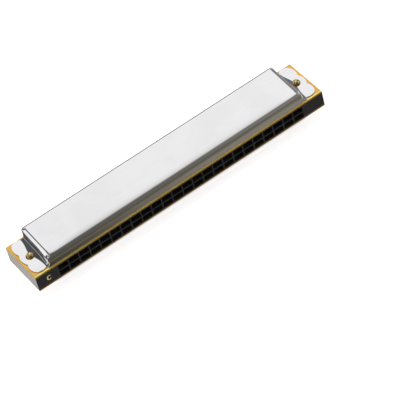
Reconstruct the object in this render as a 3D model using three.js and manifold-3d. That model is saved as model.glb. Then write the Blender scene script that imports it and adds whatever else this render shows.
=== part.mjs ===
// Tremolo harmonica, built as a three.js scene graph of separate solids.
// Millimetres. +X along the length (low notes at -X), mouth side at -Y, +Z up.
// The origin is the centre of the comb, which is also the centre of the whole instrument's length and height.

import * as THREE from 'three';
import { mergeVertices } from 'three/addons/utils/BufferGeometryUtils.js';
import Module from 'manifold-3d';

// ---- Driving dimensions ---------------------------------------------------

// Comb: one moulding with two rows of cells, open to the mouth side and to the reed plates.
const columns = 24;
const pitch = 6.35;              // from one column of cells to the next
const dividerWall = 0.9;         // between two columns
const middleWall = 0.8;          // between the upper and the lower row
const endBlock = 13.25;          // solid stretch of the comb at each end
const bodyDepth = 28;            // from the mouth side to the back
const combHeight = 8;
const combBackWall = 2.5;

// Reed plates, riveted reeds and their slots.
const plateThickness = 1;
const reedThickness = 0.3;
const reedWidth = 2.4;
const shortestReed = 9.5;        // from the rivet to the tip, highest column
const padWidth = 3.2;            // the wide root of a reed, under its rivet
const padHalfLength = 1.2;
const reedGap = 0.1;             // between a reed and its plate
const slotSideGap = 0.15;        // between a reed's edge and the slot's wall
const slotTipGap = 0.25;
const slotStartGap = 0.1;        // from the end of the pad to the start of the slot
const rivetShankRadius = 0.6;
const rivetShankGap = 0.1;       // between the rivet and the hole in the reed
const rivetHeadRadius = 0.95;
const rivetHeadHeight = 0.35;
const rivetHeadGap = 0.1;        // between the pad and the rivet's head
const rivetRowGap = 0.4;         // from a pad to the cover's front wall, or to the comb's back wall

// Covers: pressed sheet, with a skirt along the mouth side, sloping end walls and a nailed ear at each end.
const sheet = 0.45;
const coverFrontHeight = 5;      // top of the front wall, above the reed plate
const coverBackHeight = 6.5;
const skirtSetback = 0.7;        // reed plate left bare in front of the skirt
const skirtWidth = 1.7;
const skirtHeight = 1.2;
const frontWallLean = 0.3;       // the front wall leans back by this much
const frontEdgeRadius = 1.1;     // between the front wall and the top face
const backEdgeRadius = 0.6;
const backSetback = 0.4;         // from the cover's back edge to the reed plate's
const backLip = 1.2;             // turned down along the open back
const backHem = 1.3;             // folded forward under the lip
const earSetback = 1;            // from the ear's outermost point to the end of the reed plate
const earFrontSetback = 1.5;
const earBackSetback = 0.5;
const earLength = 7.6;           // flat part of the ear, along X
const endWallRun = 3.2;          // from the end of the flat top face out to the end wall's foot
const endWallTilt = 18;          // degrees from upright
const endEdgeRadius = 1.8;
const endFootRun = 0.7;          // the foot curves out into the ear
const endFootRise = 0.85;
const notchDepth = 1.1;          // the ear's outline has three lobes with a notch between each two
const notchSpacing = 8.3;

// Cover nails.
const nailWallGap = 0.4;         // from the nail's head to the end wall's foot
const nailShankRadius = 0.8;
const nailHoleGap = 0.15;
const nailHeadRadius = 2.2;
const nailHeadHeight = 1.5;
const nailTipGap = 1;            // between the tips of an upper and a lower nail

// ---- Derived places -------------------------------------------------------

const cellWidth = pitch - dividerWall;
const halfLength = (columns * pitch - dividerWall) / 2 + endBlock;
const halfDepth = bodyDepth / 2;
const halfComb = combHeight / 2;
const plateTop = halfComb + plateThickness;
const cellBack = halfDepth - combBackWall;

const skirtFoot = -halfDepth + skirtSetback;
const frontWallFoot = skirtFoot + skirtWidth;
const frontWallTop = frontWallFoot + frontWallLean;
const coverBack = halfDepth - backSetback;
const earTip = halfLength - earSetback;
const endWallFoot = earTip - earLength;
const topFaceEnd = endWallFoot - endWallRun;

const drawRow = frontWallFoot + sheet + rivetRowGap + padHalfLength;   // rivets near the mouth side
const blowRow = cellBack - rivetRowGap - padHalfLength;                // rivets near the back
const longestReed = blowRow - drawRow;

const nailX = endWallFoot + nailWallGap + nailHeadRadius;
const nailHoleRadius = nailShankRadius + nailHoleGap;

// ---- Helpers --------------------------------------------------------------

const wasm = await Module();
wasm.setup();

const toSolid = (geometry) => {
  const bare = geometry.clone();
  bare.deleteAttribute('normal');
  bare.deleteAttribute('uv');
  const merged = mergeVertices(bare, 1e-4);
  return new wasm.Manifold(new wasm.Mesh({
    numProp: 3,
    vertProperties: new Float32Array(merged.attributes.position.array),
    triVerts: new Uint32Array(merged.index.array),
  }));
};

const toGeometry = (solid) => {
  const { numProp, vertProperties, triVerts } = solid.getMesh();
  const positions = new Float32Array((vertProperties.length / numProp) * 3);
  for (let i = 0; i < positions.length / 3; i++) {
    for (let axis = 0; axis < 3; axis++) positions[3 * i + axis] = vertProperties[numProp * i + axis];
  }
  const geometry = new THREE.BufferGeometry();
  geometry.setAttribute('position', new THREE.BufferAttribute(positions, 3));
  geometry.setIndex(new THREE.BufferAttribute(new Uint32Array(triVerts), 1));
  geometry.computeVertexNormals();
  return geometry;
};

// A box between two corners.
const block = ([x0, y0, z0], [x1, y1, z1]) =>
  new THREE.BoxGeometry(x1 - x0, y1 - y0, z1 - z0)
    .translate((x0 + x1) / 2, (y0 + y1) / 2, (z0 + z1) / 2);

// An upright cylinder between two heights.
const post = (radius, x, y, z0, z1, sides = 12) =>
  new THREE.CylinderGeometry(radius, radius, z1 - z0, sides)
    .rotateX(Math.PI / 2).translate(x, y, (z0 + z1) / 2);

const joined = (geometries) => geometries.map(toSolid).reduce((whole, piece) => whole.add(piece));

// ---- Columns and reeds ----------------------------------------------------

const columnX = (column) => (column - (columns - 1) / 2) * pitch;
const isDraw = (column) => column % 2 === 1;
const reedLength = (column) =>
  THREE.MathUtils.lerp(longestReed, shortestReed, column / (columns - 1));

const makeReed = (length) => {
  const outline = new THREE.Shape([
    [-padWidth / 2, -padHalfLength], [padWidth / 2, -padHalfLength],
    [padWidth / 2, padHalfLength], [reedWidth / 2, padHalfLength],
    [reedWidth / 2, length], [-reedWidth / 2, length],
    [-reedWidth / 2, padHalfLength], [-padWidth / 2, padHalfLength],
  ].map(([x, y]) => new THREE.Vector2(x, y)));
  const hole = new THREE.Path();
  hole.absarc(0, 0, rivetShankRadius + rivetShankGap, 0, 2 * Math.PI, true);
  outline.holes.push(hole);
  return new THREE.ExtrudeGeometry(outline, { depth: reedThickness, bevelEnabled: false, curveSegments: 8 })
    .translate(0, 0, -reedThickness / 2);
};

// ---- Comb -----------------------------------------------------------------

const makeComb = () => {
  const body = toSolid(block(
    [-halfLength, -halfDepth, -halfComb], [halfLength, halfDepth, halfComb]));
  const cuts = [];
  for (let column = 0; column < columns; column++) {
    const left = columnX(column) - cellWidth / 2;
    const right = left + cellWidth;
    cuts.push(block([left, -halfDepth - 1, middleWall / 2], [right, cellBack, halfComb + 1]));
    cuts.push(block([left, -halfDepth - 1, -halfComb - 1], [right, cellBack, -middleWall / 2]));
  }
  for (const x of [-nailX, nailX]) cuts.push(post(nailHoleRadius, x, 0, -halfComb - 1, halfComb + 1));
  return toGeometry(cuts.map(toSolid).reduce((comb, cut) => comb.subtract(cut), body));
};

// ---- Reed plate, with its rivets ------------------------------------------

// A rivet is a shank and a head on the side where its reed lies.
const makeRivet = (x, y, side) => {
  const face = side > 0 ? plateTop : halfComb;
  const headStart = face + side * (reedGap + reedThickness + rivetHeadGap);
  const headEnd = headStart + side * rivetHeadHeight;
  const inside = face - side * plateThickness / 2;
  const span = (a, b) => [Math.min(a, b), Math.max(a, b)];
  return joined([
    post(rivetShankRadius, x, y, ...span(inside, headEnd - side * rivetHeadHeight / 2), 8),
    post(rivetHeadRadius, x, y, ...span(headStart, headEnd), 8),
  ]);
};

const makeReedPlate = () => {
  let plate = toSolid(block(
    [-halfLength, -halfDepth, halfComb], [halfLength, halfDepth, plateTop]));
  for (let column = 0; column < columns; column++) {
    const x = columnX(column);
    const draw = isDraw(column);
    const row = draw ? drawRow : blowRow;
    const along = draw ? 1 : -1;
    const start = row + along * (padHalfLength + slotStartGap);
    const end = row + along * (reedLength(column) + slotTipGap);
    const slotHalf = reedWidth / 2 + slotSideGap;
    plate = plate.subtract(toSolid(block(
      [x - slotHalf, Math.min(start, end), halfComb - 1],
      [x + slotHalf, Math.max(start, end), plateTop + 1])));
    plate = plate.add(makeRivet(x, row, along));
  }
  for (const x of [-nailX, nailX]) {
    plate = plate.subtract(toSolid(post(nailHoleRadius, x, 0, halfComb - 1, plateTop + 1)));
  }
  return toGeometry(plate);
};

// ---- Cover ----------------------------------------------------------------

// Moves each point of an open line to its left by a distance, with mitred corners.
const offsetLine = (points, distance) => points.map((point, i) => {
  const before = points[Math.max(i - 1, 0)];
  const after = points[Math.min(i + 1, points.length - 1)];
  const normalOf = (a, b) => new THREE.Vector2(a.y - b.y, b.x - a.x).normalize();
  const first = i > 0 ? normalOf(before, point) : normalOf(point, after);
  const second = i < points.length - 1 ? normalOf(point, after) : first;
  const middle = first.clone().add(second).normalize();
  return point.clone().addScaledVector(middle, distance / middle.dot(first));
});

// Points along an arc, between two angles in degrees.
const arcPoints = (x, y, radius, from, to, steps) =>
  Array.from({ length: steps + 1 }, (_, i) => {
    const angle = THREE.MathUtils.degToRad(THREE.MathUtils.lerp(from, to, i / steps));
    return new THREE.Vector2(x + radius * Math.cos(angle), y + radius * Math.sin(angle));
  });

// The skin's line across the instrument, from the skirt's foot over the top to the back, as (y, z).
const sideLine = [
  new THREE.Vector2(skirtFoot, 0),
  new THREE.Vector2(frontWallFoot, skirtHeight),
  ...arcPoints(frontWallTop + frontEdgeRadius, coverFrontHeight - frontEdgeRadius, frontEdgeRadius, 180, 90, 4),
  ...arcPoints(coverBack - backEdgeRadius, coverFrontHeight - backEdgeRadius, backEdgeRadius, 90, 0, 2),
  new THREE.Vector2(coverBack, 0),
];

// The skin's line along the instrument, over one end wall, as (x, z): the top face's end, wall and foot.
const endHalfLine = [
  ...arcPoints(topFaceEnd, coverFrontHeight - endEdgeRadius, endEdgeRadius, 90, endWallTilt, 4),
  new THREE.Vector2(endWallFoot - endFootRun, sheet + endFootRise),
  new THREE.Vector2(endWallFoot - endFootRun * 0.45, sheet + endFootRise * 0.35),
  new THREE.Vector2(endWallFoot, sheet),
  new THREE.Vector2(endWallFoot, 0),
];
const endLine = [
  ...endHalfLine.map((point) => new THREE.Vector2(-point.x, point.y)).reverse(),
  ...endHalfLine,
];

// A bar whose section is the space under the line, down to a little below the reed plate's face.
const barSection = (line, below) => new THREE.Shape([
  ...line,
  new THREE.Vector2(line.at(-1).x, -below),
  new THREE.Vector2(line[0].x, -below),
]);
const X = new THREE.Vector3(1, 0, 0);
const Y = new THREE.Vector3(0, 1, 0);
const Z = new THREE.Vector3(0, 0, 1);
const barAlongX = (line, below = 0) =>
  new THREE.ExtrudeGeometry(barSection(line, below), { depth: 2 * halfLength, bevelEnabled: false })
    .translate(0, 0, -halfLength)
    .applyMatrix4(new THREE.Matrix4().makeBasis(Y, Z, X));
const barAlongY = (line, below = 0) =>
  new THREE.ExtrudeGeometry(barSection(line, below), { depth: 2 * bodyDepth, bevelEnabled: false })
    .translate(0, 0, -bodyDepth)
    .applyMatrix4(new THREE.Matrix4().makeBasis(X, Z, Y.clone().negate()));

// The covers are higher at the back: heights grow in proportion from the front wall to the back edge.
const sloped = (geometry) => {
  const position = geometry.attributes.position;
  for (let i = 0; i < position.count; i++) {
    const back = THREE.MathUtils.inverseLerp(frontWallTop, coverBack, position.getY(i));
    const growth = THREE.MathUtils.lerp(1, coverBackHeight / coverFrontHeight, Math.max(0, back));
    position.setZ(i, position.getZ(i) * growth);
  }
  return geometry;
};

// The flat ear outside the end wall at +X, drawn in plan. Its outline has three lobes.
const makeEar = () => {
  const inner = endWallFoot - sheet / 2;
  const front = -halfDepth + earFrontSetback;
  const back = halfDepth - earBackSetback;
  const notchX = earTip - notchDepth;
  const notchY = notchSpacing / 2;
  const lobeRadius = (notchY ** 2 + notchDepth ** 2) / (2 * notchDepth);
  const lobeHalfAngle = Math.asin(notchY / lobeRadius);
  const outline = new THREE.Shape();
  outline.moveTo(inner, front);
  outline.lineTo(nailX + 0.6, front);
  outline.bezierCurveTo(earTip - 1, front, earTip + 0.9, -notchY - 4, notchX, -notchY);
  outline.absarc(earTip - lobeRadius, 0, lobeRadius, -lobeHalfAngle, lobeHalfAngle, false);
  outline.bezierCurveTo(earTip + 0.9, notchY + 4, earTip - 1, back, nailX + 0.6, back);
  outline.lineTo(inner, back);
  return new THREE.ExtrudeGeometry(outline, { depth: sheet, bevelEnabled: false, curveSegments: 8 });
};

const makeCover = () => {
  const outside = toSolid(barAlongX(sideLine)).intersect(toSolid(barAlongY(endLine)));
  const inside = toSolid(barAlongX(offsetLine(sideLine, -sheet), 1))
    .intersect(toSolid(barAlongY(offsetLine(endLine, -sheet), 1)));
  let cover = toSolid(sloped(toGeometry(outside.subtract(inside))));
  const lipEnd = coverBackHeight - backLip;
  cover = cover
    .subtract(toSolid(block(
      [-topFaceEnd, coverBack - backHem, -1], [topFaceEnd, coverBack + 1, lipEnd])))
    .add(toSolid(block(
      [-topFaceEnd - sheet, coverBack - backHem, lipEnd], [topFaceEnd + sheet, coverBack, lipEnd + sheet])));
  const ear = toSolid(makeEar());
  const otherEar = toSolid(makeEar().rotateY(Math.PI).translate(0, 0, sheet));
  cover = cover.add(ear).add(otherEar);
  for (const x of [-nailX, nailX]) cover = cover.subtract(toSolid(post(nailHoleRadius, x, 0, -1, sheet + 1)));
  return toGeometry(cover).translate(0, 0, plateTop);
};

// ---- Nail -----------------------------------------------------------------

// A domed head on the ear and a shank down into the comb, turned about its own axis.
const makeNail = () => {
  const shankEnd = nailTipGap / 2 - plateTop - sheet;
  const dome = arcPoints(0, 0, 1, 0, 90, 5)
    .map(({ x, y }) => new THREE.Vector2(x * nailHeadRadius, y * nailHeadHeight));
  const profile = [
    new THREE.Vector2(0, shankEnd),
    new THREE.Vector2(nailShankRadius, shankEnd),
    new THREE.Vector2(nailShankRadius, 0),
    ...dome.slice(0, -1),
    new THREE.Vector2(0, nailHeadHeight),
  ];
  return new THREE.LatheGeometry(profile, 16).rotateX(Math.PI / 2);
};

// ---- Assembly -------------------------------------------------------------

const finishes = {
  comb: new THREE.MeshStandardMaterial({ color: 0x1b1b1e, roughness: 0.45, metalness: 0 }),
  brass: new THREE.MeshStandardMaterial({ color: 0xc79a45, roughness: 0.3, metalness: 1 }),
  chrome: new THREE.MeshStandardMaterial({ color: 0xe4e4e6, roughness: 0.05, metalness: 1 }),
  nail: new THREE.MeshStandardMaterial({ color: 0xb98a3a, roughness: 0.2, metalness: 1 }),
};

const harmonica = new THREE.Group();
const place = (parent, name, geometry, finish) => {
  const mesh = new THREE.Mesh(geometry, finishes[finish]);
  mesh.name = name;
  parent.add(mesh);
  return mesh;
};

place(harmonica, 'comb', makeComb(), 'comb');

const plate = makeReedPlate();
const cover = makeCover();
const nail = makeNail();
const reeds = Array.from({ length: columns }, (_, column) => makeReed(reedLength(column)));
const reedHeight = (draw) => draw
  ? plateTop + reedGap + reedThickness / 2
  : halfComb - reedGap - reedThickness / 2;

// The lower half is the upper half reflected in the comb's middle plane.
for (const [level, up] of [['upper', 1], ['lower', -1]]) {
  const half = new THREE.Group();
  half.scale.z = up;
  harmonica.add(half);
  place(half, `${level}_reed_plate`, plate, 'brass');
  place(half, `${level}_cover`, cover, 'chrome');
  for (const [end, side] of [['left', -1], ['right', 1]]) {
    place(half, `${level}_${end}_nail`, nail, 'nail')
      .position.set(side * nailX, 0, plateTop + sheet);
  }
  reeds.forEach((reed, column) => {
    const draw = isDraw(column);
    const mesh = place(half, `${level}_reed_${String(column + 1).padStart(2, '0')}`, reed, 'brass');
    mesh.position.set(columnX(column), draw ? drawRow : blowRow, reedHeight(draw));
    mesh.rotation.z = draw ? 0 : Math.PI;
  });
}

export default harmonica;
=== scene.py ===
import math
import bpy
import bmesh
from mathutils import Matrix, Vector
from mathutils.geometry import tessellate_polygon


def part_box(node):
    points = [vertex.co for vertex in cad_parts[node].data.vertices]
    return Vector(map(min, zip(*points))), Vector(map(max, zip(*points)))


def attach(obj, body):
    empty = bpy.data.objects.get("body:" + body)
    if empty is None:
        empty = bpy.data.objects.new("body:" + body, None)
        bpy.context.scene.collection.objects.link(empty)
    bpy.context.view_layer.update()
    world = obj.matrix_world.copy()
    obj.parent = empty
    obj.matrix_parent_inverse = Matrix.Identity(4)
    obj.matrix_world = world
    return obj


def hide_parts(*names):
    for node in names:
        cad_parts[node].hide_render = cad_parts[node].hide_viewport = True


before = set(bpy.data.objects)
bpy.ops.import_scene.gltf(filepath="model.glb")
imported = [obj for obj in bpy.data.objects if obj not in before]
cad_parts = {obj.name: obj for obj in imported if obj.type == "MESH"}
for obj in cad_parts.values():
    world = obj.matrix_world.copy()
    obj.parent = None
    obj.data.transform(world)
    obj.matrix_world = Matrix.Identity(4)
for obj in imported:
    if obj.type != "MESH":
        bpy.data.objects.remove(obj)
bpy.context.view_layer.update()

mm = 0.001


# small helpers

def lerp(a, b, t):
    return a + (b - a) * t


def ease(t):  # 0 to 1 with a soft start and end
    t = min(1, max(0, t))
    return t * t * (3 - 2 * t)


def newObject(name, mesh, smooth=True):
    obj = bpy.data.objects.new(name, mesh)
    bpy.context.scene.collection.objects.link(obj)
    for polygon in mesh.polygons:
        polygon.use_smooth = smooth
    return obj


def meshFrom(name, points, faces):  # points in millimetres
    mesh = bpy.data.meshes.new(name)
    mesh.from_pydata([Vector(p) * mm for p in points], [], faces)
    mesh.update()
    return mesh


def faceOutward(mesh):
    work = bmesh.new()
    work.from_mesh(mesh)
    bmesh.ops.remove_doubles(work, verts=work.verts, dist=1e-7)
    bmesh.ops.recalc_face_normals(work, faces=work.faces)
    work.to_mesh(mesh)
    work.free()


def applyModifiers(obj):
    bpy.context.view_layer.update()
    evaluated = obj.evaluated_get(bpy.context.evaluated_depsgraph_get())
    mesh = bpy.data.meshes.new_from_object(evaluated)
    obj.modifiers.clear()
    obj.data = mesh
    return obj


def evenShading(obj):  # large flat faces keep flat reflections, narrow rounded edges carry the turn
    even = obj.modifiers.new("flatFacesStayFlat", "WEIGHTED_NORMAL")
    even.keep_sharp = True
    even.weight = 80
    return applyModifiers(obj)


def boxMm(node):
    low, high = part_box(node)
    return low / mm, high / mm


# node helpers

def socket(shader, name):
    return next(s for s in shader.inputs if s.name == name and s.enabled)


def addNode(tree, kind, **values):
    made = tree.nodes.new(kind)
    for key, value in values.items():
        setattr(made, key, value)
    return made


def link(tree, a, b):
    tree.links.new(a, b)


def mathNode(tree, operation, a, b=None):
    made = addNode(tree, "ShaderNodeMath", operation=operation)
    for slot, value in enumerate((a, b)):
        if value is None:
            continue
        if isinstance(value, (int, float)):
            made.inputs[slot].default_value = value
        else:
            link(tree, value, made.inputs[slot])
    return made.outputs[0]


def rangeNode(tree, value, fromMin, fromMax, toMin=0.0, toMax=1.0, smooth=True):
    made = addNode(tree, "ShaderNodeMapRange", clamp=True)
    made.interpolation_type = "SMOOTHSTEP" if smooth else "LINEAR"
    link(tree, value, made.inputs["Value"])
    for name, number in (("From Min", fromMin), ("From Max", fromMax),
                         ("To Min", toMin), ("To Max", toMax)):
        made.inputs[name].default_value = number
    return made.outputs["Result"]


def mixColour(tree, mask, a, b):
    made = addNode(tree, "ShaderNodeMix", data_type="RGBA")
    for source, target in ((mask, made.inputs[0]), (a, made.inputs[6]), (b, made.inputs[7])):
        if isinstance(source, (int, float)):
            target.default_value = source
        elif isinstance(source, tuple):
            target.default_value = (*source, 1)
        else:
            link(tree, source, target)
    return made.outputs[2]


def makeGroup(name, inputs, outputs):
    group = bpy.data.node_groups.new(name, "ShaderNodeTree")
    for label, kind, default in inputs:
        made = group.interface.new_socket(name=label, in_out="INPUT", socket_type=kind)
        made.default_value = default
    for label, kind in outputs:
        group.interface.new_socket(name=label, in_out="OUTPUT", socket_type=kind)
    return group, group.nodes.new("NodeGroupInput"), group.nodes.new("NodeGroupOutput")


def useGroup(tree, group, **values):
    made = addNode(tree, "ShaderNodeGroup")
    made.node_tree = group
    for key, value in values.items():
        target = made.inputs[key]
        if hasattr(value, "is_output"):
            link(tree, value, target)
        else:
            target.default_value = value
    return made


def fineScratches():  # hair lines along one direction, as a mask and a height
    group, given, out = makeGroup(
        "fineScratches",
        [("Scale", "NodeSocketFloat", 400.0), ("Stretch", "NodeSocketVector", (0.02, 1, 1)),
         ("Amount", "NodeSocketFloat", 0.5)],
        [("Mask", "NodeSocketFloat"), ("Height", "NodeSocketFloat")])
    coords = addNode(group, "ShaderNodeTexCoord")
    stretched = addNode(group, "ShaderNodeVectorMath", operation="MULTIPLY")
    link(group, coords.outputs["Object"], stretched.inputs[0])
    link(group, given.outputs["Stretch"], stretched.inputs[1])
    noise = addNode(group, "ShaderNodeTexNoise")
    noise.inputs["Detail"].default_value = 6
    noise.inputs["Roughness"].default_value = 0.65
    link(group, stretched.outputs[0], noise.inputs["Vector"])
    link(group, given.outputs["Scale"], noise.inputs["Scale"])
    lines = rangeNode(group, noise.outputs["Fac"], 0.46, 0.72)
    mask = mathNode(group, "MULTIPLY", lines, given.outputs["Amount"])
    link(group, mask, out.inputs["Mask"])
    link(group, noise.outputs["Fac"], out.inputs["Height"])
    return group


def handledPatches():  # soft cloudy patches where the metal was touched, and small specks
    group, given, out = makeGroup(
        "handledPatches",
        [("Size", "NodeSocketFloat", 40.0), ("Speck Size", "NodeSocketFloat", 900.0)],
        [("Patch", "NodeSocketFloat"), ("Speck", "NodeSocketFloat")])
    coords = addNode(group, "ShaderNodeTexCoord")
    cloud = addNode(group, "ShaderNodeTexNoise")
    cloud.inputs["Detail"].default_value = 4
    cloud.inputs["Distortion"].default_value = 0.6
    link(group, coords.outputs["Object"], cloud.inputs["Vector"])
    link(group, given.outputs["Size"], cloud.inputs["Scale"])
    speck = addNode(group, "ShaderNodeTexNoise")
    speck.inputs["Detail"].default_value = 2
    link(group, coords.outputs["Object"], speck.inputs["Vector"])
    link(group, given.outputs["Speck Size"], speck.inputs["Scale"])
    link(group, rangeNode(group, cloud.outputs["Fac"], 0.4, 0.66), out.inputs["Patch"])
    link(group, rangeNode(group, speck.outputs["Fac"], 0.6, 0.72), out.inputs["Speck"])
    return group


scratchGroup = fineScratches()
patchGroup = handledPatches()
print("node groups ready")


# finishes

def newMaterial(name):
    material = bpy.data.materials.new(name)
    material.use_nodes = True
    tree = material.node_tree
    shader = tree.nodes["Principled BSDF"]
    return material, tree, shader


def setShader(shader, **values):
    for key, value in values.items():
        socket(shader, key.replace("_", " ")).default_value = value


def addBump(tree, shader, height, distance):
    bump = addNode(tree, "ShaderNodeBump")
    bump.inputs["Strength"].default_value = 1
    bump.inputs["Distance"].default_value = distance
    link(tree, height, bump.inputs["Height"])
    link(tree, bump.outputs["Normal"], socket(shader, "Normal"))


chromeLook = {
    "colour": (0.868, 0.86, 0.868),
    "dullColour": (0.8, 0.8, 0.805),
    "roughness": 0.035,
    "smudgeRoughness": 0.075,
    "waviness": 0.0000012,       # metres, slow ripples left by the press
}


def makeChrome():
    material, tree, shader = newMaterial("mirrorChrome")
    patches = useGroup(tree, patchGroup, **{"Size": 55.0, "Speck Size": 1400.0})
    scratches = useGroup(tree, scratchGroup, **{"Scale": 900.0, "Stretch": (0.05, 1, 1), "Amount": 0.35})
    marks = mathNode(tree, "MAXIMUM", mathNode(tree, "MULTIPLY", patches.outputs["Patch"], 0.5),
                     scratches.outputs["Mask"])
    link(tree, mixColour(tree, marks, chromeLook["colour"], chromeLook["dullColour"]),
         socket(shader, "Base Color"))
    roughness = rangeNode(tree, marks, 0, 1, chromeLook["roughness"], chromeLook["smudgeRoughness"],
                          smooth=False)
    link(tree, roughness, socket(shader, "Roughness"))
    setShader(shader, Metallic=1.0)
    coords = addNode(tree, "ShaderNodeTexCoord")
    ripple = addNode(tree, "ShaderNodeTexNoise")
    ripple.inputs["Scale"].default_value = 60
    ripple.inputs["Detail"].default_value = 1
    link(tree, coords.outputs["Object"], ripple.inputs["Vector"])
    addBump(tree, shader, ripple.outputs["Fac"], chromeLook["waviness"])
    return material


brassLook = {
    "colour": (0.80, 0.46, 0.095),
    "paleColour": (0.88, 0.56, 0.15),
    "stainColour": (0.6, 0.32, 0.06),
    "roughness": 0.16,
    "dullRoughness": 0.3,
    "rollingLines": 0.0000012,
}
# painted highlight: paler than the plate's brass so the rolled mouth edge shines; the lower roughness is
# the burnished polish
edgeHighlightLook = {
    "colour": (0.95, 0.74, 0.2),
    "paleColour": (1.0, 0.86, 0.4),
    "stainColour": (0.78, 0.54, 0.13),
    "roughness": 0.08,
    "dullRoughness": 0.16,
    "rollingLines": 0.0000012,
}


def makeBrass(name, look, stretch, scale, metallic=1.0):
    material, tree, shader = newMaterial(name)
    patches = useGroup(tree, patchGroup, **{"Size": 120.0, "Speck Size": 1800.0})
    lines = useGroup(tree, scratchGroup, **{"Scale": scale, "Stretch": stretch, "Amount": 0.8})
    base = mixColour(tree, lines.outputs["Mask"], look["colour"], look["paleColour"])
    stained = mathNode(tree, "MULTIPLY", patches.outputs["Patch"], 0.35)
    specked = mathNode(tree, "MAXIMUM", stained,
                       mathNode(tree, "MULTIPLY", patches.outputs["Speck"], 0.5))
    colour = mixColour(tree, specked, base, look["stainColour"])
    if "paintedShadeSideColour" in look:            # painted shade: darker down the sides than on top, by how far the surface turns from facing up
        split = addNode(tree, "ShaderNodeSeparateXYZ")
        link(tree, addNode(tree, "ShaderNodeNewGeometry").outputs["Normal"], split.inputs[0])
        upward = mathNode(tree, "ABSOLUTE", split.outputs["Z"])
        colour = mixColour(tree, rangeNode(tree, upward, 0.62, 0.92, 1, 0), colour, look["paintedShadeSideColour"])
    link(tree, colour, socket(shader, "Base Color"))
    link(tree, rangeNode(tree, specked, 0, 0.6, look["roughness"], look["dullRoughness"], False),
         socket(shader, "Roughness"))
    setShader(shader, Metallic=metallic)
    addBump(tree, shader, lines.outputs["Height"], look["rollingLines"])
    return material


plasticLook = {
    "colour": (0.018, 0.018, 0.021),
    "wornColour": (0.03, 0.03, 0.034),
    "roughness": 0.28,
    "scuffedRoughness": 0.4,
    "grain": 0.000003,
    "polish": 0.8,
}
# painted shade: the comb's plastic made darker inside the cells, where little light reaches
cellPaintedShadeLook = {
    "colour": (0.006, 0.006, 0.006),
    "wornColour": (0.014, 0.013, 0.012),
    "roughness": 0.6,
    "scuffedRoughness": 0.75,
    "grain": 0.000006,
    "polish": 0.0,
}


def makePlastic(name, look):
    material, tree, shader = newMaterial(name)
    patches = useGroup(tree, patchGroup, **{"Size": 90.0, "Speck Size": 2600.0})
    wear = mathNode(tree, "MAXIMUM", mathNode(tree, "MULTIPLY", patches.outputs["Patch"], 0.35),
                    mathNode(tree, "MULTIPLY", patches.outputs["Speck"], 0.4))
    link(tree, mixColour(tree, wear, look["colour"], look["wornColour"]),
         socket(shader, "Base Color"))
    link(tree, rangeNode(tree, wear, 0, 0.5, look["roughness"], look["scuffedRoughness"], False),
         socket(shader, "Roughness"))
    coords = addNode(tree, "ShaderNodeTexCoord")
    grain = addNode(tree, "ShaderNodeTexVoronoi")
    grain.inputs["Scale"].default_value = 4200
    link(tree, coords.outputs["Object"], grain.inputs["Vector"])
    addBump(tree, shader, grain.outputs["Distance"], look["grain"])
    setShader(shader, Coat_Weight=look["polish"], Coat_Roughness=0.08)
    return material


goldLook = {"colour": (0.97, 0.8, 0.36), "thinColour": (0.86, 0.66, 0.26), "roughness": 0.35}


def makeGoldPrint():
    material, tree, shader = newMaterial("goldPrint")
    patches = useGroup(tree, patchGroup, **{"Size": 900.0, "Speck Size": 4000.0})
    link(tree, mixColour(tree, patches.outputs["Patch"], goldLook["colour"], goldLook["thinColour"]),
         socket(shader, "Base Color"))
    link(tree, rangeNode(tree, patches.outputs["Patch"], 0, 1, goldLook["roughness"], 0.55, False),
         socket(shader, "Roughness"))
    setShader(shader, Metallic=0.2)
    return material


nailLook = {
    "colour": (0.98, 0.8, 0.4),
    "paleColour": (1.0, 0.88, 0.5),
    "stainColour": (0.85, 0.6, 0.22),
    # painted shade for the dome's steep sides
    "paintedShadeSideColour": (0.3, 0.16, 0.025),
    "roughness": 0.03,
    "dullRoughness": 0.07,
    "rollingLines": 0.0000003,
}
reedLook = {
    "colour": (0.78, 0.56, 0.22),
    "paleColour": (0.88, 0.7, 0.36),
    "stainColour": (0.5, 0.32, 0.12),
    "roughness": 0.3,
    "dullRoughness": 0.42,
    "rollingLines": 0.000004,
}

chrome = makeChrome()
plateBrass = makeBrass("rolledBrass", brassLook, (0.03, 1, 1), 1500.0, 0.9)
edgeBrassPaintedHighlight = makeBrass("burnishedEdgeBrassPaintedHighlight", edgeHighlightLook, (0.03, 1, 1), 1200.0, 0.75)
nailBrass = makeBrass("nailBrass", nailLook, (1, 1, 1), 700.0)
reedBrass = makeBrass("filedReedBrass", reedLook, (1, 0.04, 1), 2200.0)
combPlastic = makePlastic("combPlastic", plasticLook)
cellPlasticPaintedShade = makePlastic("cellPlasticPaintedShade", cellPaintedShadeLook)
goldPrint = makeGoldPrint()
print("finishes ready")


# camera

cameraView = {
    "place": Vector((-0.3986, -0.9354, 1.0440)),
    "forward": Vector((0.2782, 0.6310, -0.7242)),
    "right": Vector((0.8031, -0.5664, -0.1851)),
    "lens": 260.1,
    "sensor": 36.0,
}


def makeCamera():
    data = bpy.data.cameras.new("sceneCamera")
    data.sensor_width = cameraView["sensor"]
    data.lens = cameraView["lens"]
    data.clip_start = 0.01
    camera = bpy.data.objects.new("sceneCamera", data)
    bpy.context.scene.collection.objects.link(camera)
    forward = cameraView["forward"].normalized()
    right = cameraView["right"].normalized()
    rise = right.cross(forward).normalized()
    camera.matrix_world = Matrix((
        (right.x, rise.x, -forward.x, cameraView["place"].x),
        (right.y, rise.y, -forward.y, cameraView["place"].y),
        (right.z, rise.z, -forward.z, cameraView["place"].z),
        (0, 0, 0, 1)))
    bpy.context.scene.camera = camera


makeCamera()
print("camera ready")


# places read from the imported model, in millimetres

combLow, combHigh = boxMm("comb")
coverLow, coverHigh = boxMm("upper_cover")
nailLow, nailHigh = boxMm("upper_right_nail")

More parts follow.
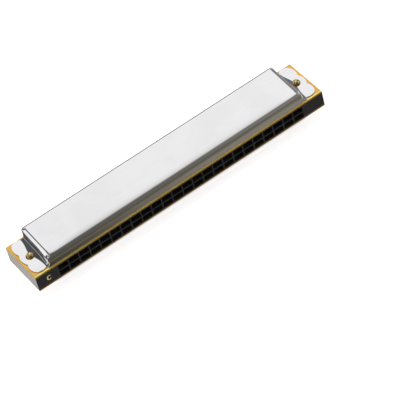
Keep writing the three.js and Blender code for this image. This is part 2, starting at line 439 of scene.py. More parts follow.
plateTop = coverLow.z
halfLength = combHigh.x
halfDepth = combHigh.y
earTip = coverHigh.x
coverFront = coverLow.y
coverBack = coverHigh.y
nailX = (nailLow.x + nailHigh.x) / 2
nailY = (nailLow.y + nailHigh.y) / 2


# covers

cover = {
    "sheet": 0.45,
    "frontWallFoot": 1.7,        # from the skirt's foot back to the crease
    "creaseHeight": 1.25,
    "skirtFootHeight": 0.4,
    "wallLean": 0.25,
    "frontHeight": 5.0,
    "crownDepth": 3.2,           # the top face eases down towards the mouth side
    "crownDrop": 0.1,
    "crownFade": 14.0,           # the crown dies out this far from the corners
    "topEdgeIn": 11.2,           # from the ear's tip in to the end of the flat top
    "bandRun": 1.75,             # the sloping band between the flat top and the end wall
    "bandDrop": 1.14,
    "bandRunFront": 2.2,
    "wallSpread": 0.55,          # how far the end wall leans out; it stands upright at the back
    "wallSpreadBack": 0.15,
    "rampAngle": 17.0,
    "rampFootIn": 7.4,           # from the ear's tip in to the foot of the ramp at its narrow ends
    "rampBulge": 1.9,            # extra run beside the nail
    "rampCentre": 1.5,
    "rampSpread": 35.3,
    "backSlopeRun": 0.85,        # the top dips a little towards the open back
    "backSlopeDrop": 0.22,
    "backRounding": (0.16, 0.1),  # at the back edge, and where the dip starts
    "backLip": 1.2,
    "hem": 1.3,
    "cornerRadii": (1.5, 1.5, 1.5, 1.5, 1.2, 0.9),   # foot, ramp, fold, band, top, inside the top
    "cornerReach": (2.9, 2.3, 1.7),                  # the front corners are smoothed inside these
    "backCornerRadius": 1.1,
    "earFrontSetback": 1.5,
    "earBackSetback": 0.5,
    "notchDepth": 1.1,
    "notchSpacing": 8.3,
    "nailHole": 0.95,
}

heightAtFront = cover["frontHeight"]
heightAtBack = coverHigh.z - plateTop
frontWallTop = coverFront + cover["frontWallFoot"] + cover["wallLean"]
arcSteps = 8


def topHeight(y):
    return lerp(heightAtFront, heightAtBack, (y - frontWallTop) / (coverBack - frontWallTop))


def roundedLine(points, radii, steps=arcSteps):  # the same number of points whatever the radii are
    line = [points[0]]
    for i in range(1, len(points) - 1):
        before, here, after = (Vector(p) for p in (points[i - 1], points[i], points[i + 1]))
        a, b = (before - here), (after - here)
        reach = radii[i - 1] if isinstance(radii[i - 1], tuple) else (radii[i - 1], radii[i - 1])
        start = here + a.normalized() * min(reach[0], 0.9 * a.length)
        end = here + b.normalized() * min(reach[1], 0.49 * b.length)
        for step in range(steps + 1):
            t = step / steps
            line.append(tuple((1 - t) ** 2 * start + 2 * t * (1 - t) * here + t ** 2 * end))
    line.append(points[-1])
    return line


def earBoundary(y):
    bulge = cover["rampBulge"] * math.exp(-((y - cover["rampCentre"]) ** 2) / cover["rampSpread"])
    return earTip - cover["rampFootIn"] + bulge


# from the ear up to the top face: (distance from the middle, height above the reed plate)
def endProfile(y):
    top = topHeight(y)
    inner = earTip - cover["topEdgeIn"]
    outer = inner + lerp(cover["bandRun"], cover["bandRunFront"], ease(-y / 11))
    foldX = outer + lerp(cover["wallSpread"], cover["wallSpreadBack"], ease((y - 2) / 10.5))
    foot = earBoundary(y)
    foldZ = cover["sheet"] + (foot - foldX) * math.tan(math.radians(cover["rampAngle"]))
    drop = cover["bandDrop"] * (outer - inner) / cover["bandRun"]
    points = [(foot + 0.35, cover["sheet"]), (foot, cover["sheet"]), (foldX, foldZ),
              (outer, top - drop), (inner, top), (inner - 3.5, top)]
    return roundedLine(points, (0.3, 0.3, 0.35, 0.5))


# from the skirt's foot up to the top face: (distance in front of the middle, height)
def frontProfile(drop):
    foot = -coverFront
    crease = foot - cover["frontWallFoot"]
    wallTop = crease - cover["wallLean"]
    crown = wallTop - cover["crownDepth"]
    points = [(foot, cover["skirtFootHeight"]),
              (lerp(foot, crease, 0.4), lerp(cover["skirtFootHeight"], cover["creaseHeight"], 0.4)),
              (crease, cover["creaseHeight"]), (wallTop, topHeight(-wallTop) - drop),
              (crown, topHeight(-crown)), (crown - 2.4, topHeight(-crown + 2.4))]
    return roundedLine(points, (0.2, 0.25, (2.7, 0.8), 1.2))


levelCount = 2 + 4 * (arcSteps + 1)
wallTopStart = 1 + 2 * (arcSteps + 1)      # first level of the rounding between wall and top face


def cornerRadius(level):
    marks = (0, 1 + arcSteps // 2, 1 + arcSteps + 1 + arcSteps // 2, wallTopStart,
             wallTopStart + arcSteps, levelCount - 1)
    for i in range(len(marks) - 1):
        if level <= marks[i + 1]:
            t = (level - marks[i]) / (marks[i + 1] - marks[i])
            return lerp(cover["cornerRadii"][i], cover["cornerRadii"][i + 1], t)
    return cover["cornerRadii"][-1]


def backProfile():  # (y, height) from the turned down lip up over the back edge and along the top face
    slopeStart = coverBack - cover["backSlopeRun"]
    edgeZ = topHeight(slopeStart) - cover["backSlopeDrop"]
    lip = Vector((coverBack, topHeight(coverBack) - cover["backLip"] + 0.2))
    corner, inside = Vector((coverBack, edgeZ)), Vector((slopeStart, topHeight(slopeStart)))
    slope = (inside - corner).normalized()
    along = Vector((-1, topHeight(0) - topHeight(1))).normalized()
    line = [tuple(lip)]
    edgeReach, dipReach = cover["backRounding"]
    for here, before, after, reach, count in ((corner, Vector((0, -1)), slope, edgeReach, 5),
                                              (inside, -slope, along, dipReach, 3)):
        start, end = here + before * reach, here + after * reach
        for step in range(count):
            t = step / (count - 1)
            line.append(tuple((1 - t) ** 2 * start + 2 * t * (1 - t) * here + t ** 2 * end))
    for step in range(arcSteps + 1):
        y = slopeStart - lerp(0.6, 1.0, step / arcSteps)
        line.append((y, topHeight(y)))
    y = slopeStart - 5
    line.append((y, topHeight(y)))
    return line


coverSteps = {"end": 44, "corner": 12, "front": 36, "backCorner": 6}


def coverLoops():
    front = frontProfile(0)
    crowned = frontProfile(cover["crownDrop"])
    back = backProfile()
    loops = []
    for level in range(levelCount):
        radius = cornerRadius(level)
        reachY, frontZ = front[level]
        closed = level >= wallTopStart
        cornerY = -(reachY - radius)
        backRadius = cover["backCornerRadius"]
        backEdge, backZ = back[level - wallTopStart] if closed else (coverBack, None)
        lastY = backEdge - backRadius

        def endPoint(y):
            return endProfile(y)[level]

        side = []                          # the left end, from the back to the front corner
        for step in range(coverSteps["end"] + 1):
            y = lerp(lastY, cornerY, step / coverSteps["end"])
            x, z = endPoint(y)
            side.append((-x, y, z))
        cornerX, cornerZ = endPoint(cornerY)
        for step in range(1, coverSteps["corner"]):
            angle = math.radians(90 * step / coverSteps["corner"])
            share = ease(step / coverSteps["corner"])
            x = -(cornerX - radius + radius * math.cos(angle))
            y = cornerY - radius * math.sin(angle)
            if closed:
                drop = lerp(topHeight(cornerY) - cornerZ, topHeight(-reachY) - frontZ, share)
                z = topHeight(y) - drop
            else:
                z = lerp(cornerZ, frontZ, share)
            side.append((x, y, z))
        frontSpan = cornerX - radius
        middle = []
        for step in range(coverSteps["front"] + 1):
            x = lerp(-frontSpan, frontSpan, step / coverSteps["front"])
            share = ease((frontSpan - abs(x)) / cover["crownFade"])
            middle.append((x, -lerp(reachY, crowned[level][0], share),
                           lerp(frontZ, crowned[level][1], share)))
        loop = side + middle + [(-x, y, z) for x, y, z in reversed(side)]
        if closed:
            endX, endZ = endPoint(lastY)
            arc = []
            for step in range(1, coverSteps["backCorner"]):
                angle = math.radians(90 * step / coverSteps["backCorner"])
                share = ease(step / coverSteps["backCorner"])
                y = lastY + backRadius * math.sin(angle)
                drop = lerp(topHeight(lastY) - endZ, topHeight(backEdge) - backZ, share)
                arc.append((endX - backRadius + backRadius * math.cos(angle), y, topHeight(y) - drop))
            backSpan = endX - backRadius
            rear = [(lerp(backSpan, -backSpan, step / coverSteps["front"]), backEdge, backZ)
                    for step in range(coverSteps["front"] + 1)]
            loop = loop + arc + rear + [(-x, y, z) for x, y, z in reversed(arc)]
        loops.append(loop)
    return loops


def earOutline():  # the right ear's free edge in plan, from the cover's front corner round to its back
    notchX = earTip - cover["notchDepth"]
    notchY = cover["notchSpacing"] / 2
    front = -halfDepth + cover["earFrontSetback"]
    back = halfDepth - cover["earBackSetback"]
    start = (nailX + 0.6, front)

    def curve(p0, p1, p2, p3, steps):
        points = []
        for step in range(1, steps + 1):
            t = step / steps
            points.append(tuple((1 - t) ** 3 * a + 3 * t * (1 - t) ** 2 * b
                                + 3 * t * t * (1 - t) * c + t ** 3 * d
                                for a, b, c, d in zip(p0, p1, p2, p3)))
        return points

    lobeRadius = (notchY ** 2 + cover["notchDepth"] ** 2) / (2 * cover["notchDepth"])
    half = math.asin(notchY / lobeRadius)
    outline = [(nailX - 0.7, front + 0.14), start]
    outline += curve(start, (earTip - 1, front), (earTip + 0.9, -notchY - 4), (notchX, -notchY), 22)
    outline += [(earTip - lobeRadius + lobeRadius * math.cos(a), lobeRadius * math.sin(a))
                for a in (lerp(-half, half, step / 20) for step in range(1, 21))]
    outline += curve((notchX, notchY), (earTip + 0.9, notchY + 4), (earTip - 1, back),
                     (nailX + 0.6, back), 22)
    outline += [(nailX - 0.7, back - 0.06)]
    return outline


def softenCorners(mesh):  # pressing leaves the two front corners of the top rounded
    cornerX = earTip - cover["topEdgeIn"] + cover["bandRunFront"] - 0.6
    cornerY = coverFront + cover["frontWallFoot"] + 1.0
    lowest = plateTop + cover["creaseHeight"] + 0.9
    work = bmesh.new()
    work.from_mesh(mesh)
    for reach in cover["cornerReach"]:
        near = [vertex for vertex in work.verts if vertex.co.z > lowest * mm and
                math.hypot(abs(vertex.co.x) - cornerX * mm, vertex.co.y - cornerY * mm) < reach * mm]
        for repeat in range(4):
            bmesh.ops.smooth_vert(work, verts=near, factor=0.5,
                                  use_axis_x=True, use_axis_y=True, use_axis_z=True)
    work.to_mesh(mesh)
    work.free()


def makeUpperCover():
    points, faces = [], []
    loops = coverLoops()
    starts = []
    for loop in loops:
        starts.append(len(points))
        points += loop
    for level in range(levelCount - 1):
        low, high = starts[level], starts[level + 1]
        closed = level >= wallTopStart
        count = len(loops[level])
        for i in range(count if closed else count - 1):
            j = (i + 1) % count
            faces.append((low + i, low + j, high + j, high + i))
    faces.append(tuple(range(starts[-1], starts[-1] + len(loops[-1]))))

    # hem under the open back edge
    top = topHeight(coverBack)
    lipEnd = top - cover["backLip"]
    sideCount = coverSteps["end"] + coverSteps["corner"]
    rearStart = 2 * sideCount + coverSteps["front"] + 1 + coverSteps["backCorner"] - 1
    rear = [starts[wallTopStart] + rearStart + i for i in range(coverSteps["front"] + 1)]
    fold = [(coverBack - 0.03, lipEnd + 0.11), (coverBack - 0.09, lipEnd + 0.04),
            (coverBack - 0.2, lipEnd), (coverBack - cover["hem"] + 0.25, lipEnd),
            (coverBack - cover["hem"], lipEnd + 0.06)]
    above = rear
    for y, z in fold:
        below = []
        for index in above:
            below.append(len(points))
            points.append((points[index][0], y, z))
        for i in range(len(above) - 1):
            faces.append((above[i], above[i + 1], below[i + 1], below[i]))
        above = below

    # flat ears, each with a hole for its nail
    outline = earOutline()
    endCount = coverSteps["end"] + 1
    rightEnd = list(range(len(loops[0]) - endCount, len(loops[0])))
    leftEnd = list(range(endCount))
    hole = [(nailX + cover["nailHole"] * math.cos(a), nailY + cover["nailHole"] * math.sin(a))
            for a in (math.tau * step / 32 for step in range(32))]
    for sign, inner in ((1, list(reversed(rightEnd))), (-1, leftEnd)):
        # inner runs from the back to the front, the outline from the front to the back
        ring = list(inner)
        for x, y in outline:
            ring.append(len(points))
            points.append((sign * x, y, cover["sheet"]))
        bore = []
        for x, y in hole:
            bore.append(len(points))
            points.append((sign * x, y, cover["sheet"]))
        flat = [[Vector((points[i][0], points[i][1], 0)) for i in part] for part in (ring, bore)]
        names = ring + bore
        for triangle in tessellate_polygon(flat):
            faces.append(tuple(names[i] for i in triangle))

    mesh = meshFrom("upperCoverSkin", [(x, y, z + plateTop) for x, y, z in points], faces)
    faceOutward(mesh)
    widest = max(mesh.polygons, key=lambda polygon: polygon.area)
    if widest.normal.z < 0:
        mesh.flip_normals()
    softenCorners(mesh)
    skin = newObject("upperCoverSkin", mesh)
    thickness = skin.modifiers.new("sheetThickness", "SOLIDIFY")
    thickness.thickness = cover["sheet"] * mm
    thickness.offset = -1
    thickness.use_even_offset = True
    edge = skin.modifiers.new("softEdges", "BEVEL")
    edge.width = 0.09 * mm
    edge.segments = 2
    edge.limit_method = "ANGLE"
    edge.angle_limit = math.radians(60)
    return evenShading(skin)


def mirroredDown(source, name):
    mesh = source.data.copy()
    for vertex in mesh.vertices:
        vertex.co.z = -vertex.co.z
    mesh.flip_normals()
    mesh.update()
    return evenShading(newObject(name, mesh))


def dress(piece, body, slotName, material, *nodes):
    piece.data.materials.clear()
    piece.data.materials.append(material)
    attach(piece, body)
    if nodes:
        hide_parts(*nodes)


upperCover = makeUpperCover()
lowerCover = mirroredDown(upperCover, "lowerCoverSkin")
dress(upperCover, "body", "cover_chrome", chrome, "upper_cover")
dress(lowerCover, "body", "cover_chrome", chrome, "lower_cover")
print("covers ready:", len(upperCover.data.polygons), "faces each")


# comb

comb = {
    "columns": 24,
    "divider": 0.68,
    "middleWall": 0.65,
    "endBlock": 13.25,
    "backWall": 2.5,
    "sill": 0.3,                 # thin floor and ceiling just inside each mouth opening
    "sillDepth": 3.2,
    "edge": 0.12,
}


def makeComb():
    span = 2 * (halfLength - comb["endBlock"])
    cell = (span - (comb["columns"] - 1) * comb["divider"]) / comb["columns"]
    xs = [-halfLength, -halfLength + comb["endBlock"]]
    for column in range(comb["columns"]):
        xs.append(xs[-1] + cell)
        if column < comb["columns"] - 1:
            xs.append(xs[-1] + comb["divider"])
    xs.append(halfLength)
    ys = [-halfDepth, -halfDepth + comb["sillDepth"], halfDepth - comb["backWall"], halfDepth]
    half = comb["middleWall"] / 2
    zs = [combLow.z, combLow.z + comb["sill"], -half, half, combHigh.z - comb["sill"], combHigh.z]

    def filled(i, j, k):
        if not (0 <= i < len(xs) - 1 and 0 <= j < 3 and 0 <= k < 5):
            return False
        inColumn = 0 < i < len(xs) - 2 and i % 2 == 1
        return not (inColumn and (j == 0 and k in (1, 3) or j == 1 and k != 2))

    points, faces, index = [], [], {}

    def corner(i, j, k):
        if (i, j, k) not in index:
            index[(i, j, k)] = len(points)
            points.append((xs[i], ys[j], zs[k]))
        return index[(i, j, k)]

    around = (((1, 0, 0), ((1, 0, 0), (1, 1, 0), (1, 1, 1), (1, 0, 1))),
              ((-1, 0, 0), ((0, 0, 0), (0, 0, 1), (0, 1, 1), (0, 1, 0))),
              ((0, 1, 0), ((0, 1, 0), (0, 1, 1), (1, 1, 1), (1, 1, 0))),
              ((0, -1, 0), ((0, 0, 0), (1, 0, 0), (1, 0, 1), (0, 0, 1))),
              ((0, 0, 1), ((0, 0, 1), (1, 0, 1), (1, 1, 1), (0, 1, 1))),
              ((0, 0, -1), ((0, 0, 0), (0, 1, 0), (1, 1, 0), (1, 0, 0))))
    for i in range(len(xs) - 1):
        for j in range(3):
            for k in range(5):
                if not filled(i, j, k):
                    continue
                for step, corners in around:
                    if not filled(i + step[0], j + step[1], k + step[2]):
                        faces.append([corner(i + a, j + b, k + c) for a, b, c in corners])
    mesh = meshFrom("combMoulding", points, faces)
    work = bmesh.new()
    work.from_mesh(mesh)
    bmesh.ops.dissolve_limit(work, angle_limit=math.radians(1), verts=work.verts, edges=work.edges)
    sharp = [edge for edge in work.edges if edge.is_manifold and edge.calc_face_angle(0) > 0.5]
    bmesh.ops.bevel(work, geom=sharp, offset=comb["edge"] * mm, segments=2, profile=0.5, affect="EDGES",
                    clamp_overlap=True)
    work.to_mesh(mesh)
    work.free()
    return evenShading(newObject("combMoulding", mesh))


def isInsideCell(face):  # the walls in a cell, but not the comb's outer skin
    centre = face.center / mm
    outer = (abs(abs(centre.x) - halfLength) < 0.15 or abs(abs(centre.y) - halfDepth) < 0.07
             or abs(abs(centre.z) - combHigh.z) < 0.15)
    return not outer


combPiece = makeComb()
dress(combPiece, "body", "comb_plastic", combPlastic, "comb")
# painted shade: the walls inside the cells take the darker copy of the plastic
combPiece.data.materials.append(cellPlasticPaintedShade)
for face in combPiece.data.polygons:
    face.material_index = int(isInsideCell(face))
print("comb ready:", len(combPiece.data.polygons), "faces")


# reed plates

plate = {
    "frontEdge": 0.26,
    "edge": 0.14,
    # (y, height on the plate) round the rolled bead
    "bead": ((-12.56, -0.02), (-12.72, 0.01), (-12.96, 0.09), (-13.02, 0.1), (-13.72, 0.117),
             (-13.79, 0.105), (-13.9, 0.04), (-13.97, -0.07), (-14.0, -0.22), (-13.9, -0.4),
             (-12.9, -0.3)),
    "beadCentre": (-13.5, -0.15),
}


def makePlate(node, name, direction):
    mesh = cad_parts[node].data.copy()
    work = bmesh.new()
    work.from_mesh(mesh)
    bmesh.ops.remove_doubles(work, verts=work.verts, dist=1e-7)
    bmesh.ops.dissolve_limit(work, angle_limit=math.radians(0.5), verts=work.verts, edges=work.edges)

    def onRim(vertex):
        x, y = abs(vertex.co.x) / mm, abs(vertex.co.y) / mm
        return x > halfLength - 0.01 or y > halfDepth - 0.01

    def rimEdges():
        return [edge for edge in work.edges if edge.is_manifold and edge.calc_face_angle(0) > 0.8
                and all(onRim(v) for v in edge.verts)]

    outside = max(v.co.z * direction for v in work.verts if onRim(v))
    mouthEdge = [edge for edge in rimEdges()
                 if all(v.co.z * direction > outside - 1e-6 and v.co.y / mm < 0.01 - halfDepth
                        for v in edge.verts)]
    if direction > 0:
        bmesh.ops.bevel(work, geom=mouthEdge, offset=plate["frontEdge"] * mm, segments=3, profile=0.5,
                        affect="EDGES", clamp_overlap=True)
    rest = [edge for edge in rimEdges() if edge.calc_face_angle(0) > 1.2]
    bmesh.ops.bevel(work, geom=rest, offset=plate["edge"] * mm, segments=2, profile=0.5,
                    affect="EDGES", clamp_overlap=True)
    work.to_mesh(mesh)
    work.free()
    return evenShading(newObject(name, mesh))


def makeBead(name):  # the rolled bead along the upper plate's mouth edge
    profile, points, faces = plate["bead"], [], []
    ends = (-halfLength + 0.05, -halfLength + 0.2, halfLength - 0.2, halfLength - 0.05)
    middleY, middleZ = plate["beadCentre"]
    for i, x in enumerate(ends):
        share = 0.75 if i in (0, 3) else 1
        for y, z in profile:
            points.append((x, lerp(middleY, y, share), plateTop + lerp(middleZ, z, share)))
    count = len(profile)
    for i in range(len(ends) - 1):
        for j in range(count):
            after = (j + 1) % count
            faces.append((i * count + j, i * count + after, (i + 1) * count + after, (i + 1) * count + j))
    faces += [tuple(range(count)), tuple(range(3 * count, 4 * count))]
    mesh = meshFrom(name, points, faces)
    faceOutward(mesh)
    return evenShading(newObject(name, mesh))


for node, name, direction in (("upper_reed_plate", "upperPlate", 1),
                              ("lower_reed_plate", "lowerPlate", -1)):
    piece = makePlate(node, name, direction)
    dress(piece, "body", "reed_plate_brass", plateBrass, node)
dress(makeBead("upperPlateBead"), "body", "reed_plate_brass", edgeBrassPaintedHighlight)
print("reed plates ready")


# nails

nail = {"shank": 0.8, "crown": 1.5, "roundness": 1.1, "rimHeight": 0.28, "segments": 40}


def makeNail(name, x, y, headFoot, tip, direction):
    radius = (nailHigh.x - nailLow.x) / 2
    profile = [(0.001, tip), (nail["shank"] * 0.55, tip), (nail["shank"], tip + 0.5),
               (nail["shank"], headFoot), (radius * 0.93, headFoot), (radius * 0.985, headFoot + 0.06)]
    rimTop = headFoot + nail["rimHeight"] * 0.5
    for step in range(13):
        angle = math.radians(90 * step / 13)
        share = math.sin(angle) ** nail["roundness"]
        profile.append((radius * math.cos(angle), lerp(rimTop, headFoot + nail["crown"], share)))
    profile.append((0.0, headFoot + nail["crown"]))
    points, faces = [], []
    count = nail["segments"]
    for r, z in profile[:-1]:
        for step in range(count):
            angle = math.tau * step / count
            points.append((x + r * math.cos(angle), y + r * math.sin(angle), z * direction))
    for level in range(len(profile) - 2):
        for step in range(count):
            after = (step + 1) % count
            a, b = level * count, (level + 1) * count
            faces.append((a + step, a + after, b + after, b + step))
    points.append((x, y, profile[-1][1] * direction))
    last = (len(profile) - 2) * count
    faces += [(last + step, last + (step + 1) % count, len(points) - 1) for step in range(count)]
    faces.append(tuple(range(count)))
    mesh = meshFrom(name, points, faces)
    faceOutward(mesh)
    piece = newObject(name, mesh)
    mesh.set_sharp_from_angle(angle=math.radians(50))
    return piece


for row, direction in (("upper", 1), ("lower", -1)):
    for side in ("left", "right"):
        node = f"{row}_{side}_nail"
        low, high = boxMm(node)
        tip = low.z if direction > 0 else -high.z
        headTop = high.z if direction > 0 else -low.z
        piece = makeNail(f"{row}{side.capitalize()}Nail", (low.x + high.x) / 2, (low.y + high.y) / 2,
                         headTop - nail["crown"], tip, direction)
        dress(piece, "body", "nail_brass", nailBrass, node)
print("nails ready")


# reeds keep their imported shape

for name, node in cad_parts.items():
    if "_reed_" in name and "plate" not in name:
        for slot in node.material_slots:
            slot.material = reedBrass
print("reeds dressed")


# key mark on the comb's mouth side

mark = {"inFromEnd": 7.1, "width": 2.7, "height": 3.1, "stroke": 0.6, "opening": 42, "lift": 0.015}


def makeMark():
    centreX = -halfLength + mark["inFromEnd"]
    front = -halfDepth - mark["lift"]
    points, faces = [], []
    steps = 36
    for step in range(steps + 1):
        angle = math.radians(lerp(mark["opening"], 360 - mark["opening"], step / steps))
        stroke = mark["stroke"] * (0.75 + 0.35 * abs(math.cos(angle)))
        for outward in (0, 1):
            rx = mark["width"] / 2 - stroke * (1 - outward)
            rz = mark["height"] / 2 - stroke * 0.8 * (1 - outward)
            for y in (front, -halfDepth + 0.05):
                points.append((centreX + rx * math.cos(angle), y, rz * math.sin(angle)))
    for step in range(steps):
        a, b = 4 * step, 4 * (step + 1)
        faces += [(a, b, b + 2, a + 2), (a + 2, b + 2, b + 3, a + 3), (a, a + 1, b + 1, b),
                  (a + 1, a + 3, b + 3, b + 1)]
    faces += [(0, 2, 3, 1), (4 * steps, 4 * steps + 1, 4 * steps + 3, 4 * steps + 2)]
    mesh = meshFrom("keyMark", points, faces)
    faceOutward(mesh)
    return newObject("keyMark", mesh, smooth=False)


dress(makeMark(), "body", "comb_plastic", goldPrint)
print("key mark ready")


# floor, studio and lamps

studio = {
    "floorRadius": 0.6,
    "restSlope": 3.447,          # degrees: the lower cover's face is lower at the back
    "shadowLift": 0.55,          # how far the camera sees the floor lifted towards white
    "fill": 0.72,
    "keyPower": 9.0,
}


# painted reflection: what polished metal finds in the floor is painted in as glowing tones seen
# only in reflections: dark in front, dark behind and white under the instrument and far to the right
paintedFloorReflections = {
    "nearLeft": (0.078, 0.073, 0.058),
    "nearRight": (0.13, 0.124, 0.1),
    "middleLeft": (0.115, 0.112, 0.102),
    "middleRight": (0.22, 0.215, 0.2),
    "farLeft": (0.036, 0.034, 0.028),
    "farRight": (0.21, 0.2, 0.18),
    "mouthEdge": (0.09, 0.083, 0.06),
    "behind": (0.1, 0.098, 0.094),
    "behindRight": (0.9, 0.905, 0.91),
    "paper": (0.9, 0.9, 0.9),
}


def makeFloor():
    segments = 72
    points = [(studio["floorRadius"] * math.cos(a) / mm, studio["floorRadius"] * math.sin(a) / mm, 0)
              for a in (math.tau * step / segments for step in range(segments))]
    mesh = meshFrom("studioFloor", points, [tuple(range(segments))])
    floor = newObject("studioFloor", mesh, smooth=False)
    restPlace = -(plateTop + topHeight(0)) - 0.02
    floor.location = (0, 0, restPlace * mm)
    floor.rotation_euler = (-math.radians(studio["restSlope"]), 0, 0)
    material = bpy.data.materials.new("paleFloorPaintedReflections")
    material.use_nodes = True
    tree = material.node_tree
    tree.nodes.clear()
    out = addNode(tree, "ShaderNodeOutputMaterial")
    path = addNode(tree, "ShaderNodeLightPath")
    paper = addNode(tree, "ShaderNodeBsdfDiffuse")
    paper.inputs["Color"].default_value = (0.8, 0.8, 0.8, 1)
    lift = addNode(tree, "ShaderNodeEmission")
    link(tree, mathNode(tree, "MULTIPLY", path.outputs["Is Camera Ray"], studio["shadowLift"]),
         lift.inputs["Strength"])
    lit = addNode(tree, "ShaderNodeAddShader")
    link(tree, paper.outputs[0], lit.inputs[0])
    link(tree, lift.outputs[0], lit.inputs[1])

    coords = addNode(tree, "ShaderNodeTexCoord")
    split = addNode(tree, "ShaderNodeSeparateXYZ")
    link(tree, coords.outputs["Object"], split.inputs[0])
    x, y = split.outputs["X"], split.outputs["Y"]
    pastEnd = mathNode(tree, "SUBTRACT", mathNode(tree, "ABSOLUTE", x), halfLength * mm)
    pastSide = mathNode(tree, "SUBTRACT", mathNode(tree, "ABSOLUTE", y), halfDepth * mm)
    past = mathNode(tree, "MAXIMUM", pastEnd, pastSide)
    inFront = rangeNode(tree, y, -0.0155, -0.0175)
    paleReflectionMask = mathNode(tree, "MULTIPLY", rangeNode(tree, past, 0.013, 0.017, 1, 0),
                         mathNode(tree, "SUBTRACT", 1.0, inFront))
    across = rangeNode(tree, x, -0.07, 0.08, smooth=False)
    near = mixColour(tree, across, paintedFloorReflections["nearLeft"], paintedFloorReflections["nearRight"])
    middle = mixColour(tree, across, paintedFloorReflections["middleLeft"], paintedFloorReflections["middleRight"])
    far = mixColour(tree, rangeNode(tree, x, 0.03, 0.09), paintedFloorReflections["farLeft"], paintedFloorReflections["farRight"])
    tone = mixColour(tree, rangeNode(tree, y, -0.03, -0.055), near, middle)
    tone = mixColour(tree, rangeNode(tree, y, -0.068, -0.095), tone, far)
    tone = mixColour(tree, rangeNode(tree, y, -0.026, -0.031, 1, 0), tone, paintedFloorReflections["mouthEdge"])
    back = mixColour(tree, rangeNode(tree, x, 0.1, 0.12), paintedFloorReflections["behind"], paintedFloorReflections["behindRight"])
    tone = mixColour(tree, rangeNode(tree, y, 0.0, 0.02), tone, back)
    # painted reflection: reflected rays see the floor glow in these tones, while the camera sees it white
    seen = addNode(tree, "ShaderNodeEmission")
    link(tree, mixColour(tree, paleReflectionMask, tone, paintedFloorReflections["paper"]), seen.inputs["Color"])
    mix = addNode(tree, "ShaderNodeMixShader")
    link(tree, path.outputs["Is Glossy Ray"], mix.inputs[0])
    link(tree, lit.outputs[0], mix.inputs[1])
    link(tree, seen.outputs[0], mix.inputs[2])
    link(tree, mix.outputs[0], out.inputs["Surface"])
    mesh.materials.append(material)


def softPanel():  # a soft-edged light panel in one direction of the sky
    group, given, out = makeGroup(
        "softPanel",
        [("Direction", "NodeSocketVector", (0, 0, 1)), ("Aim", "NodeSocketVector", (0, 0, 1)),
         ("Side", "NodeSocketVector", (1, 0, 0)), ("Rise", "NodeSocketVector", (0, 1, 0)),
         ("Width", "NodeSocketFloat", 0.3), ("Height", "NodeSocketFloat", 0.3),
         ("Side Softness", "NodeSocketFloat", 0.2), ("Rise Softness", "NodeSocketFloat", 0.2)],
        [("Mask", "NodeSocketFloat")])

    def along(name):
        made = addNode(group, "ShaderNodeVectorMath", operation="DOT_PRODUCT")
        link(group, given.outputs["Direction"], made.inputs[0])
        link(group, given.outputs[name], made.inputs[1])
        return made.outputs["Value"]

    ahead = along("Aim")
    safe = mathNode(group, "MAXIMUM", ahead, 0.05)
    edges = []
    for axis, size in (("Side", "Width"), ("Rise", "Height")):
        softness = given.outputs[axis + " Softness"]
        reach = mathNode(group, "ABSOLUTE", mathNode(group, "DIVIDE", along(axis), safe))
        share = mathNode(group, "DIVIDE", reach, given.outputs[size])
        made = addNode(group, "ShaderNodeMapRange", clamp=True)
        made.interpolation_type = "SMOOTHSTEP"
        link(group, share, made.inputs["Value"])
        link(group, mathNode(group, "SUBTRACT", 1.0, softness), made.inputs["From Min"])
        link(group, mathNode(group, "ADD", 1.0, softness), made.inputs["From Max"])
        made.inputs["To Min"].default_value = 1
        made.inputs["To Max"].default_value = 0
        edges.append(made.outputs["Result"])
    facing = mathNode(group, "GREATER_THAN", ahead, 0.06)
    link(group, mathNode(group, "MULTIPLY", mathNode(group, "MULTIPLY", edges[0], edges[1]), facing),
         out.inputs["Mask"])
    return group


studioPanels = (  # aim, half width and half height in degrees, softness, brightness
    ("backPanel", (0.298, 0.676, 0.674), 14, 16.3, 0.5, 0.98),
    ("lowLeftPanel", (-0.54, 0.622, 0.566), 15, 7.5, 0.15, 1.0),
    ("farPanel", (-0.17, 0.95, 0.25), 15, 10, 0.2, 0.9),
    ("farRightPanel", (0.775, 0.631, 0.05), 14, 3.5, 0.3, 0.28),
    ("ceilingPanel", (-0.16, 0.18, 0.97), 13, 13, 0.6, 0.55),
    ("leftPanel", (-0.86, -0.15, 0.45), 32, 20, 0.2, 0.9),
    ("rightPanel", (0.9, -0.2, 0.42), 26, 20, 0.2, 0.85),
    ("frontLeftPanel", (-0.45, -0.85, 0.36), 22, 16, 0.2, 0.85),
)


skyTones = {
    "overheadLeft": (0.062, 0.057, 0.042),
    "overheadRight": (0.24, 0.222, 0.19),
    "lowFront": (0.19, 0.185, 0.168),
    "backLeft": (0.085, 0.088, 0.094),
    "backRight": (0.16, 0.165, 0.172),
}


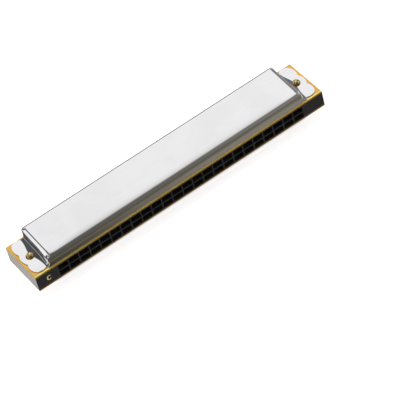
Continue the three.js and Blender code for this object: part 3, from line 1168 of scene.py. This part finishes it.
def makeWorld():
    world = bpy.data.worlds.new("studioWorld")
    bpy.context.scene.world = world
    world.use_nodes = True
    tree = world.node_tree
    tree.nodes.clear()
    out = addNode(tree, "ShaderNodeOutputWorld")
    path = addNode(tree, "ShaderNodeLightPath")
    coords = addNode(tree, "ShaderNodeTexCoord")
    direction = coords.outputs["Generated"]
    panelGroup = softPanel()
    split = addNode(tree, "ShaderNodeSeparateXYZ")
    link(tree, direction, split.inputs[0])
    x, y, z = (split.outputs[axis] for axis in "XYZ")
    sky = mixColour(tree, rangeNode(tree, x, 0.22, 0.3),
                    skyTones["overheadLeft"], skyTones["overheadRight"])
    lowFront = mathNode(tree, "MULTIPLY", rangeNode(tree, z, 0.4, 0.62, 1, 0),
                        rangeNode(tree, y, 0.0, -0.3))
    sky = mixColour(tree, lowFront, sky, skyTones["lowFront"])
    backSky = mixColour(tree, rangeNode(tree, x, 0.42, 0.58), skyTones["backLeft"], skyTones["backRight"])
    sky = mixColour(tree, rangeNode(tree, y, 0.45, 0.62), sky, backSky)
    for label, aim, width, height, softness, level in studioPanels:
        aim = Vector(aim).normalized()
        side = Vector((0, 0, 1)).cross(aim).normalized()
        rise = aim.cross(side)
        panel = useGroup(tree, panelGroup, **{
            "Direction": direction, "Aim": aim, "Side": side, "Rise": rise,
            "Width": math.tan(math.radians(width)), "Height": math.tan(math.radians(height)),
            "Rise Softness": softness})
        panel.label = label
        sky = mixColour(tree, panel.outputs["Mask"], sky, (level, level, level * 1.005))
    seen = addNode(tree, "ShaderNodeBackground")
    link(tree, sky, seen.inputs["Color"])
    fill = addNode(tree, "ShaderNodeBackground")
    fill.inputs["Strength"].default_value = studio["fill"]
    fill.inputs["Color"].default_value = (1, 1, 1, 1)
    white = addNode(tree, "ShaderNodeBackground")
    white.inputs["Color"].default_value = (1, 1, 1, 1)
    reflected = addNode(tree, "ShaderNodeMixShader")
    link(tree, path.outputs["Is Glossy Ray"], reflected.inputs[0])
    link(tree, fill.outputs[0], reflected.inputs[1])
    link(tree, seen.outputs[0], reflected.inputs[2])
    final = addNode(tree, "ShaderNodeMixShader")
    link(tree, path.outputs["Is Camera Ray"], final.inputs[0])
    link(tree, reflected.outputs[0], final.inputs[1])
    link(tree, white.outputs[0], final.inputs[2])
    link(tree, final.outputs[0], out.inputs["Surface"])


def addLamp(name, place, size, power):
    data = bpy.data.lights.new(name, "AREA")
    data.shape = "DISK"
    data.size = size
    data.energy = power
    lamp = bpy.data.objects.new(name, data)
    bpy.context.scene.collection.objects.link(lamp)
    lamp.location = place
    lamp.rotation_euler = (-Vector(place)).to_track_quat("-Z", "Y").to_euler()
    lamp.visible_glossy = False
    lamp.visible_camera = False


makeFloor()
makeWorld()
addLamp("keyLamp", (-0.5, 0.45, 1.1), 0.8, studio["keyPower"])
view = bpy.context.scene.view_settings
view.view_transform = "Standard"
print("studio ready")
